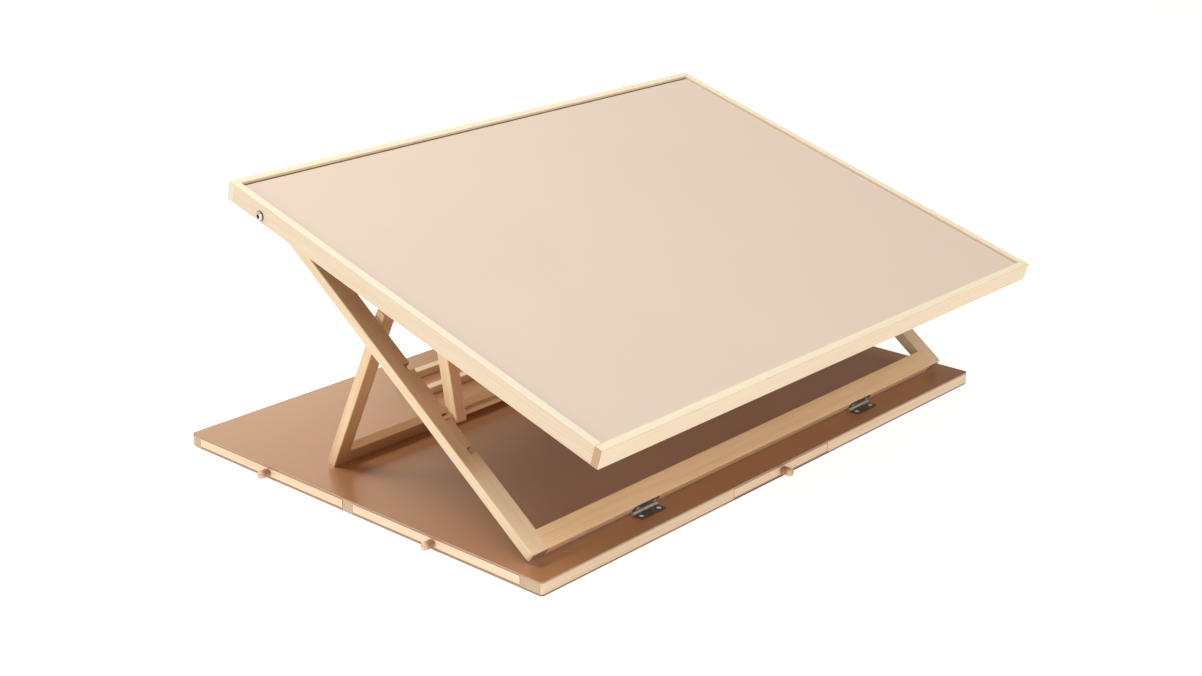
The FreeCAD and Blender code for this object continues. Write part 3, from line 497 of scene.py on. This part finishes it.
def knob_wood(name, axis, face_at, outwards, out, seed):
    """Wood whose rings cross the knob as stripes, with fibres that run up.

    A stripe counts the distance from the drawer's face, wobbled by noise; the
    paler front, a painted highlight, starts where that distance passes half of
    the knob's length.
    """
    material, place = new_material(name)
    shifted = place.turned((0, 0, 0), (0.1 * seed, 0.05 * seed, 0))
    fibre = shifted.noise((900, 900, 110), 3.0, 0.65)
    wobble = shifted.noise((160, 160, 60), 2.0)
    from_face = (place.part(axis) - face_at) * outwards
    turn_of_ring = ((from_face + wobble * KNOB_RING_WOBBLE) / KNOB_RING).math("FRACT")
    late_wood = turn_of_ring.step(0.2, 0.8) * (1 - turn_of_ring.step(0.88, 1.0))
    tone = (late_wood * 0.75 + (fibre - 0.5) * 0.9 + 0.1).step(0.0, 1.0)
    body = tone.tint(paint(*KNOB_PALE), paint(*KNOB_DARK))
    # Painted highlight: the front half of the knob is paler.
    front = tone.tint(paint(*KNOB_HIGHLIGHT_PALE), paint(*KNOB_HIGHLIGHT_DARK))
    colour = from_face.step(0.5 * out, 0.85 * out).tint(body, front)
    relief = fibre * 0.7 + late_wood * 0.3
    return finished(material, colour, 0.42 + 0.16 * fibre, relief, KNOB_RELIEF)


def closed_piece(name, copies, material, body, node):
    """One piece from several grids that close on themselves, with their poles merged."""
    joined = [grid_mesh(f"{name}_{number}", points, closed=True) for number, points in enumerate(copies)]
    piece = joined[0]
    with bpy.context.temp_override(active_object=piece, selected_editable_objects=joined):
        if len(joined) > 1:
            bpy.ops.object.join()
    piece.name = name
    piece.data.name = name
    work = bmesh.new()
    work.from_mesh(piece.data)
    bmesh.ops.remove_doubles(work, verts=work.verts, dist=SAME_PLACE)
    bmesh.ops.recalc_face_normals(work, faces=work.faces)
    work.to_mesh(piece.data)
    work.free()
    piece.data.polygons.foreach_set("use_smooth", np.ones(len(piece.data.polygons), dtype=bool))
    piece.data.materials.append(material)
    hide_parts(node)
    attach(piece, body)


for seed, drawer in enumerate(DRAWERS, start=41):
    outwards = OUTWARDS[drawer.split("_")[0]]
    axis = 1 if drawer == "front" else 0
    outer = 1 if outwards[axis] > 0 else 0
    knob_box = np.array(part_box(f"drawer_{drawer}_knob"))
    seat = knob_box.mean(axis=0)
    seat[axis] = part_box(f"drawer_{drawer}_face")[outer][axis]
    knob_radius = (knob_box[1, 2] - knob_box[0, 2]) / 2
    knob_out = abs(knob_box[outer, axis] - seat[axis])
    profile = rounded_profile(
        [
            (0, -KNOB_TENON),
            (KNOB_NECK_RADIUS, -KNOB_TENON),
            (KNOB_NECK_RADIUS, KNOB_NECK),
            (knob_radius, KNOB_NECK),
            (knob_radius, knob_out),
            (0, knob_out),
        ],
        [KNOB_TENON_EDGE, KNOB_NECK_EDGE, KNOB_BACK_RIM, KNOB_FRONT_RIM],
    )
    points = aimed(turned_points(profile), seat, outwards)
    name = f"drawer_{drawer}_turned_knob"
    material = knob_wood(f"{name}_wood", "XYZ"[axis], seat[axis], outwards[axis], knob_out, seed)
    closed_piece(name, [points], material, f"drawer_{drawer}", f"drawer_{drawer}_knob")

# Two small butt hinges join the base to the lift frame: dark antique leaves
# stamped from sheet and rolled into knuckles round a pin. The knuckles are
# painted bright: rubbed wear, and a painted highlight along them.
HINGE_DARK = (88, 76, 68)
HINGE_WORN = (134, 122, 112)
KNUCKLE_WEAR_AND_HIGHLIGHT = (226, 218, 208)
KNUCKLE_RADIUS = 2.0 * MM
STEEL_GREY = (196, 193, 187)
STEEL_BRIGHT = (236, 234, 228)
METAL_RELIEF = 0.03 * MM
JOINTS = {joint["name"]: joint for joint in frame["joints"]}


def joint_place(name):
    """A place on the axis of one of the part's own joints."""
    return np.array(JOINTS[name]["pos_m"])


def from_axis(place, middle):
    """The distance from a line along X: the root of y squared plus z squared."""
    across, up = place.part("Y") - middle[1], place.part("Z") - middle[2]
    return (across * across + up * up) ** 0.5


def plated_metal(name, dark, worn, rough, metallic):
    """Plated metal, rubbed bright in small patches, with a faint pitted skin."""
    material, place = new_material(name)
    patches = place.noise((220, 420, 420), 4.0, 0.65)
    pits = place.noise((2400, 2400, 2400), 2.0)
    colour = patches.step(0.4, 0.75).tint(paint(*dark), paint(*worn))
    roughness = rough + 0.15 * pits - 0.08 * patches
    return finished(material, colour, roughness, pits, METAL_RELIEF, Metallic=metallic)


def leaf_metal(name, middle):
    """Antique plated leaves; the knuckles, told by the distance to the pin, are painted bright, as wear
    and a painted highlight.
    """
    material, place = new_material(name)
    patches = place.noise((300, 560, 560), 3.0, 0.6)
    pits = place.noise((2400, 2400, 2400), 2.0)
    colour = patches.step(0.35, 0.75).tint(paint(*HINGE_DARK), paint(*HINGE_WORN))
    # Painted highlight and wear: the knuckles are painted bright.
    knuckle = 1 - from_axis(place, middle).step(1.04 * KNUCKLE_RADIUS, 1.12 * KNUCKLE_RADIUS)
    colour = (knuckle * (0.45 + 0.5 * patches)).tint(colour, paint(*KNUCKLE_WEAR_AND_HIGHLIGHT))
    return finished(material, colour, 0.34 + 0.15 * pits, pits, METAL_RELIEF, Metallic=0.45)


hinge_line = joint_place("lift_fold")
hinge_metal = leaf_metal("antique_hinge_metal", hinge_line)
bright_steel = plated_metal("bright_steel", STEEL_GREY, STEEL_BRIGHT, 0.26, 0.45)
dress("hinge_base_leaves", hinge_metal)
dress("hinge_frame_leaves", hinge_metal)
dress("hinge_pins", bright_steel)

# The lift frame leans back from the hinges: two rails with notches on their
# inner top edges and a bottom rail between them, all in straight wood. The rails
# are painted paler towards the foot, a painted pool of light where the board's
# shadow ends, and their sides are painted paler too, as painted light.
RAIL_PALE = (206, 166, 126)
RAIL_DARK = (174, 130, 92)
# Where the painted light on the rails begins and ends, and its two colours.
RAIL_SHADE_FROM_Y = -0.148
RAIL_LIGHT_UP_TO_Y = -0.186
RAIL_LIGHT_PALE = (246, 218, 182)
RAIL_LIGHT_DARK = (220, 182, 142)
# The rails' sides are painted paler, as painted light.
RAIL_LIT_SIDES = ("X", (230, 208, 174), (201, 168, 131))
STAND_END = (196, 154, 112)
BOTTOM_PALE = (250, 214, 168)
BOTTOM_DARK = (228, 182, 130)
leg_pivot, board_pivot = joint_place("leg_fold"), joint_place("board_tilt")
rail_run = board_pivot - leg_pivot
LIFT_ANGLE = math.atan2(rail_run[2], rail_run[1])


def grain_at(angle):
    """Grain that runs to the back and up at an angle, turned into X."""
    return (-angle, 0, -math.pi / 2)


painted_lit_foot = (RAIL_SHADE_FROM_Y, RAIL_LIGHT_UP_TO_Y, RAIL_LIGHT_PALE, RAIL_LIGHT_DARK)
for seed, node in enumerate(("lift_rail_left", "lift_rail_right"), start=51):
    colours = (RAIL_PALE, RAIL_DARK, STAND_END)
    dress(node, wood(f"{node}_wood", *colours, grain_at(LIFT_ANGLE), seed, RAIL_LIT_SIDES, painted_lit_foot=painted_lit_foot))
lift_bottom = wood("lift_bottom_rail_wood", BOTTOM_PALE, BOTTOM_DARK, STAND_END, (-LIFT_ANGLE, 0, 0), 53)
dress("lift_bottom_rail", lift_bottom)

# Countersunk screws hold the leaves: bright heads with a cross recess, two in
# each leaf, driven into the base and into the lift frame's bottom rail.
SCREW_HEAD_RADIUS = 2.6 * MM
SCREW_SHANK_RADIUS = 1.2 * MM
SCREW_LONG = 9.0 * MM
SCREW_SPACING = 27.0 * MM
LEAF_THICK = 1.2 * MM
RECESS_DEEP = 0.6 * MM
RECESS_ARM = 1.5 * MM
RECESS_HALF = 0.33 * MM
HEAD_CROWN = 0.15 * MM
SCREW_AHEAD = 1.1 * MM
SCREW_ABOVE = 6.1 * MM
SCREW_GREY = (232, 229, 222)
SCREW_BRIGHT = (252, 250, 245)
SCREW_AROUND = 96
SCREW_RINGS = 40


def smooth(value, low, high):
    """0 below low, 1 above high, and 3s^2 - 2s^3 in between."""
    share = np.clip((value - low) / (high - low), 0, 1)
    return share * share * (3 - 2 * share)


def screw_points():
    """A screw along Z with the top of its head at height 0.

    The head is a shallow crown, h = -crown (r / R)^2, less a cross: where the
    smaller of |x| and |y| is under the arm's half width, and the larger is under
    its length. The shank below is a turned profile.
    """
    turn = full_turn(SCREW_AROUND)
    radius = np.linspace(SCREW_HEAD_RADIUS, 0, SCREW_RINGS)[:, None]
    x, y = radius * np.cos(turn), radius * np.sin(turn)
    near, far = np.minimum(abs(x), abs(y)), np.maximum(abs(x), abs(y))
    arm = 1 - smooth(near, RECESS_HALF * 0.7, RECESS_HALF * 1.3)
    arm = arm * (1 - smooth(far, RECESS_ARM * 0.85, RECESS_ARM))
    crown = -HEAD_CROWN * (radius / SCREW_HEAD_RADIUS) ** 2
    top = np.stack([x, y, crown - arm * RECESS_DEEP], axis=-1)
    under = np.array([
        (0, -SCREW_LONG),
        (SCREW_SHANK_RADIUS, -SCREW_LONG + LEAF_THICK),
        (SCREW_SHANK_RADIUS, -LEAF_THICK),
    ])
    return np.concatenate([turned_points(under, SCREW_AROUND), top])


base_low, base_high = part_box("hinge_base_screws")
outer_x = base_high[0] - SCREW_HEAD_RADIUS
screw_xs = [side * x for side in (-1, 1) for x in (outer_x, outer_x - SCREW_SPACING)]
base_screw_y = (base_low[1] + base_high[1]) / 2
lift_along = rail_run / np.linalg.norm(rail_run)
lift_up = np.array((0, -lift_along[2], lift_along[1]))
frame_seat = hinge_line + lift_along * SCREW_AHEAD + lift_up * SCREW_ABOVE
base_copies = [aimed(screw_points(), (x, base_screw_y, base_high[2]), (0, 0, 1)) for x in screw_xs]
frame_copies = [aimed(screw_points(), frame_seat + np.array((x, 0, 0)), -lift_along) for x in screw_xs]
screw_steel = plated_metal("bright_screw_steel", SCREW_GREY, SCREW_BRIGHT, 0.30, 0.12)
for name, copies, body, node in (
    ("base_leaf_cross_screws", base_copies, "base", "hinge_base_screws"),
    ("frame_leaf_cross_screws", frame_copies, "lift", "hinge_frame_screws"),
):
    closed_piece(name, copies, screw_steel, body, node)

# The leg frame folds behind the rails and stands on the base: two legs and a
# bottom rail between their feet, in warmer wood; the legs' sides are painted
# paler, as painted light.
LEG_PALE = (216, 172, 124)
LEG_DARK = (178, 128, 82)
# The legs' sides are painted paler, as painted light.
LEG_LIT_SIDES = ("X", (238, 208, 168), (208, 170, 126))
LEG_ANGLE = math.radians(-63.875)
for seed, node in enumerate(("leg_left", "leg_right"), start=61):
    colours = (LEG_PALE, LEG_DARK, STAND_END)
    dress(node, wood(f"{node}_wood", *colours, grain_at(LEG_ANGLE), seed, LEG_LIT_SIDES))
leg_bottom = wood("leg_bottom_rail_wood", LEG_PALE, LEG_DARK, STAND_END, (-LEG_ANGLE, 0, 0), 63)
dress("leg_bottom_rail", leg_bottom)

# Pivot bolts with a domed bright head and a six-sided socket; rings of pale
# nylon fill the gap between the rail and what turns on it.
BOLT_RADIUS = 3.0 * MM
BOLT_HEAD_RADIUS = 5.6 * MM
BOLT_HEAD_TALL = 3.4 * MM
SOCKET_RADIUS = 2.1 * MM
SOCKET_DEEP = 1.9 * MM
SOCKET_OXIDE_AND_SHADE = (30, 27, 25)
HEAD_EDGE_SHADE_GREY = (96, 92, 86)
HEAD_EDGE = 0.7 * MM
HEAD_RIM_SHARE = 0.35
NYLON_PALE = (222, 200, 170)
NYLON_SHADE = (202, 178, 146)


def node_points(node):
    """The corners of a CAD node's mesh, one row each."""
    mesh = frame["nodes"][node].data
    points = np.empty(len(mesh.vertices) * 3)
    mesh.vertices.foreach_get("co", points)
    return points.reshape(-1, 3)


def node_ends(node, side):
    """The two ends across the table of the solid of a node on one side of the middle."""
    x = node_points(node)[:, 0]
    x = x[x * side > 0]
    return x.min(), x.max()


def bolt_points(shank):
    """A bolt along Z with its head's seat at height 0.

    The head is an arc from its rim, at a share s of its height, to its crown,
    h = tall (s + (1 - s) (1 - (r / R)^3)), less a hexagon: the largest of three
    distances from the middle is under the socket's. Its rings lie closest there.
    """
    turn = full_turn(SCREW_AROUND)
    shares = np.concatenate([np.linspace(0, 0.6, 26), np.linspace(0.63, 1, 14)])
    radius = BOLT_HEAD_RADIUS * shares[::-1][:, None]
    across = [abs(radius * np.cos(turn - angle)) for angle in (0, math.pi / 3, 2 * math.pi / 3)]
    hexagon = 1 - smooth(np.maximum.reduce(across), SOCKET_RADIUS * 0.93, SOCKET_RADIUS)
    arc = 1 - (radius / BOLT_HEAD_RADIUS) ** 3
    dome = BOLT_HEAD_TALL * (HEAD_RIM_SHARE + (1 - HEAD_RIM_SHARE) * arc)
    top = np.stack([radius * np.cos(turn), radius * np.sin(turn), dome - hexagon * SOCKET_DEEP], axis=-1)
    under = np.array([(0, -shank), (BOLT_RADIUS, -shank), (BOLT_RADIUS, 0), (BOLT_HEAD_RADIUS, 0)])
    return np.concatenate([turned_points(under, SCREW_AROUND), top])


def bolt_steel(name, middle):
    """Plated steel, black in the socket from oxide and painted shade, and painted a shade grey round the
    head's edge.

    The masks are the distance from the bolts' common axis, which lies along X.
    """
    material, place = new_material(name)
    scratches = place.noise((900, 300, 300), 3.0, 0.6)
    radius = from_axis(place, middle)
    edge = radius.step(BOLT_HEAD_RADIUS - HEAD_EDGE, BOLT_HEAD_RADIUS - 0.5 * HEAD_EDGE)
    colour = scratches.step(0.4, 0.7).tint(paint(*STEEL_GREY), paint(*STEEL_BRIGHT))
    # Painted shade round the head's edge.
    colour = edge.tint(colour, paint(*HEAD_EDGE_SHADE_GREY))
    # The socket is black: oxide and painted shade.
    colour = (1 - radius.step(SOCKET_RADIUS, 1.2 * SOCKET_RADIUS)).tint(colour, paint(*SOCKET_OXIDE_AND_SHADE))
    return finished(material, colour, 0.26 + 0.12 * scratches, scratches, SMOOTH_RELIEF, Metallic=0.6)


def pivot_bolts(name, node, middle, head_outside):
    """The left bolt and the right one, with their heads outside the table or inside."""
    copies = []
    for side in (-1, 1):
        inner, outer = sorted(abs(end) for end in node_ends(node, side))
        seat_x = outer - BOLT_HEAD_TALL if head_outside else inner + BOLT_HEAD_TALL
        seat = np.array((side * seat_x, middle[1], middle[2]))
        head_towards = side if head_outside else -side
        points = bolt_points(outer - inner - BOLT_HEAD_TALL)
        copies.append(aimed(points, seat, (head_towards, 0, 0)))
    closed_piece(name, copies, bolt_steel(f"{name}_steel", middle), "lift", node)


pivot_bolts("board_pivot_domed_bolts", "board_pivot_bolts", board_pivot, True)
pivot_bolts("leg_pivot_domed_bolts", "leg_pivot_bolts", leg_pivot, False)


def nylon(name):
    """Pale moulded nylon with a slow clouding and a very fine skin."""
    material, place = new_material(name)
    cloud = place.noise((160, 160, 160), 2.0)
    skin = place.noise((3000, 3000, 3000), 1.0)
    colour = cloud.tint(paint(*NYLON_PALE), paint(*NYLON_SHADE))
    return finished(material, colour, 0.42 + 0.1 * skin, skin, SMOOTH_RELIEF)


spacer_nylon = nylon("spacer_nylon")
dress("board_pivot_spacers", spacer_nylon)
dress("leg_pivot_spacers", spacer_nylon)

# The board: four very pale rims round a panel that sits in their grooves. The
# front and back rims run the full width, so their end grain shows at the sides.
RIM_PALE = (255, 243, 213)
RIM_DARK = (240, 218, 182)
# Painted shade: the front and back rims' faces that look front and back are darker than their tops.
RIM_SHADED_FACES = ("Y", (239, 219, 189), (219, 193, 156))
SIDE_RIM_PALE = (250, 240, 217)
SIDE_RIM_DARK = (240, 224, 196)
# Painted shade: the side rims' side faces are darker than their tops.
RIM_SHADED_SIDES = ("X", (219, 200, 172), (199, 177, 146))
RIM_ENDS = {"board_front_rim": (214, 170, 132), "board_back_rim": (246, 234, 208)}
PANEL_BROWN = (150, 112, 84)
BOARD_ANGLE = math.radians(16.64)
for seed, node in enumerate(("board_front_rim", "board_back_rim"), start=71):
    colours = (RIM_PALE, RIM_DARK, RIM_ENDS[node])
    dress(node, wood(f"{node}_wood", *colours, (-BOARD_ANGLE, 0, 0), seed, RIM_SHADED_FACES))
for seed, node in enumerate(("board_left_rim", "board_right_rim"), start=73):
    colours = (SIDE_RIM_PALE, SIDE_RIM_DARK, SIDE_RIM_DARK)
    dress(node, wood(f"{node}_wood", *colours, grain_at(BOARD_ANGLE), seed, RIM_SHADED_SIDES))
dress("board_panel", sheet_board("panel_board", *[PANEL_BROWN] * 4))

# The work sheet is a smooth pale beige facing glued on the panel, matt so that
# lamps don't glare, with faint drifts of a pinker beige in it.
WORK_BEIGE = (230, 211, 191)
WORK_PINK = (230, 209, 192)
WORK_FLECK = (222, 202, 180)
WORK_EDGE_SHADE = (128, 96, 70)
WORK_BACK_EDGE_SHADE = (84, 46, 22)
EDGE_SHADE_WIDE = 1.2 * MM
BACK_EDGE_SHADE_WIDE = 2.4 * MM
WORK_RELIEF = 0.015 * MM


def work_facing(name):
    """Matt facing: two beiges in drifts as wide as a hand, under a very fine fleck.

    A dark line is painted along its front and sides, and a wider, darker one
    along its back: painted shade where it meets the rims. Their masks are the
    distances to the sheet's edges, in the board's own plane.
    """
    material, place = new_material(name)
    drift = place.noise((4.5, 4.5, 4.5), 2.0)
    fleck = place.noise((1800, 1800, 1800), 2.0, 0.7)
    colour = drift.step(0.35, 0.65).tint(paint(*WORK_BEIGE), paint(*WORK_PINK))
    colour = (fleck.step(0.5, 0.8) * 0.3).tint(colour, paint(*WORK_FLECK))
    corners = node_points("board_sheet")
    depths = corners[:, 1] * math.cos(BOARD_ANGLE) + corners[:, 2] * math.sin(BOARD_ANGLE)
    flat = place.turned((-BOARD_ANGLE, 0, 0))
    to_side = corners[:, 0].max() - flat.part("X").math("ABSOLUTE")
    to_front = flat.part("Y") - depths.min()
    to_back = depths.max() - flat.part("Y")
    # Painted shade: dark lines along the edges where the sheet meets the rims.
    line = 1 - to_side.math("MINIMUM", to_front).step(0.3 * EDGE_SHADE_WIDE, EDGE_SHADE_WIDE)
    colour = (line * 0.7).tint(colour, paint(*WORK_EDGE_SHADE))
    colour = (1 - to_back.step(0.5 * BACK_EDGE_SHADE_WIDE, BACK_EDGE_SHADE_WIDE)).tint(colour, paint(*WORK_BACK_EDGE_SHADE))
    return finished(material, colour, 0.62 + 0.1 * fleck, fleck, WORK_RELIEF)


dress("board_sheet", work_facing("work_facing"))

# The prop under the board: two posts on pins in small glued blocks, and a round
# dowel between them whose ends drop into the notches of the rails.
POST_PALE = (202, 148, 102)
POST_DARK = (166, 110, 68)
PROP_ANGLE = math.radians(-99.581)
# The posts' sides are painted paler like the legs', as painted light.
for seed, node in enumerate(("prop_post_left", "prop_post_right"), start=81):
    colours = (POST_PALE, POST_DARK, STAND_END)
    dress(node, wood(f"{node}_wood", *colours, grain_at(PROP_ANGLE), seed, LEG_LIT_SIDES))
dress("prop_dowel", wood("prop_dowel_wood", LEG_PALE, LEG_DARK, STAND_END, GRAIN_ACROSS, 83))
dress("prop_blocks", wood("prop_block_wood", LEG_PALE, LEG_DARK, STAND_END, grain_at(BOARD_ANGLE), 84))
dress("prop_pins", bright_steel)
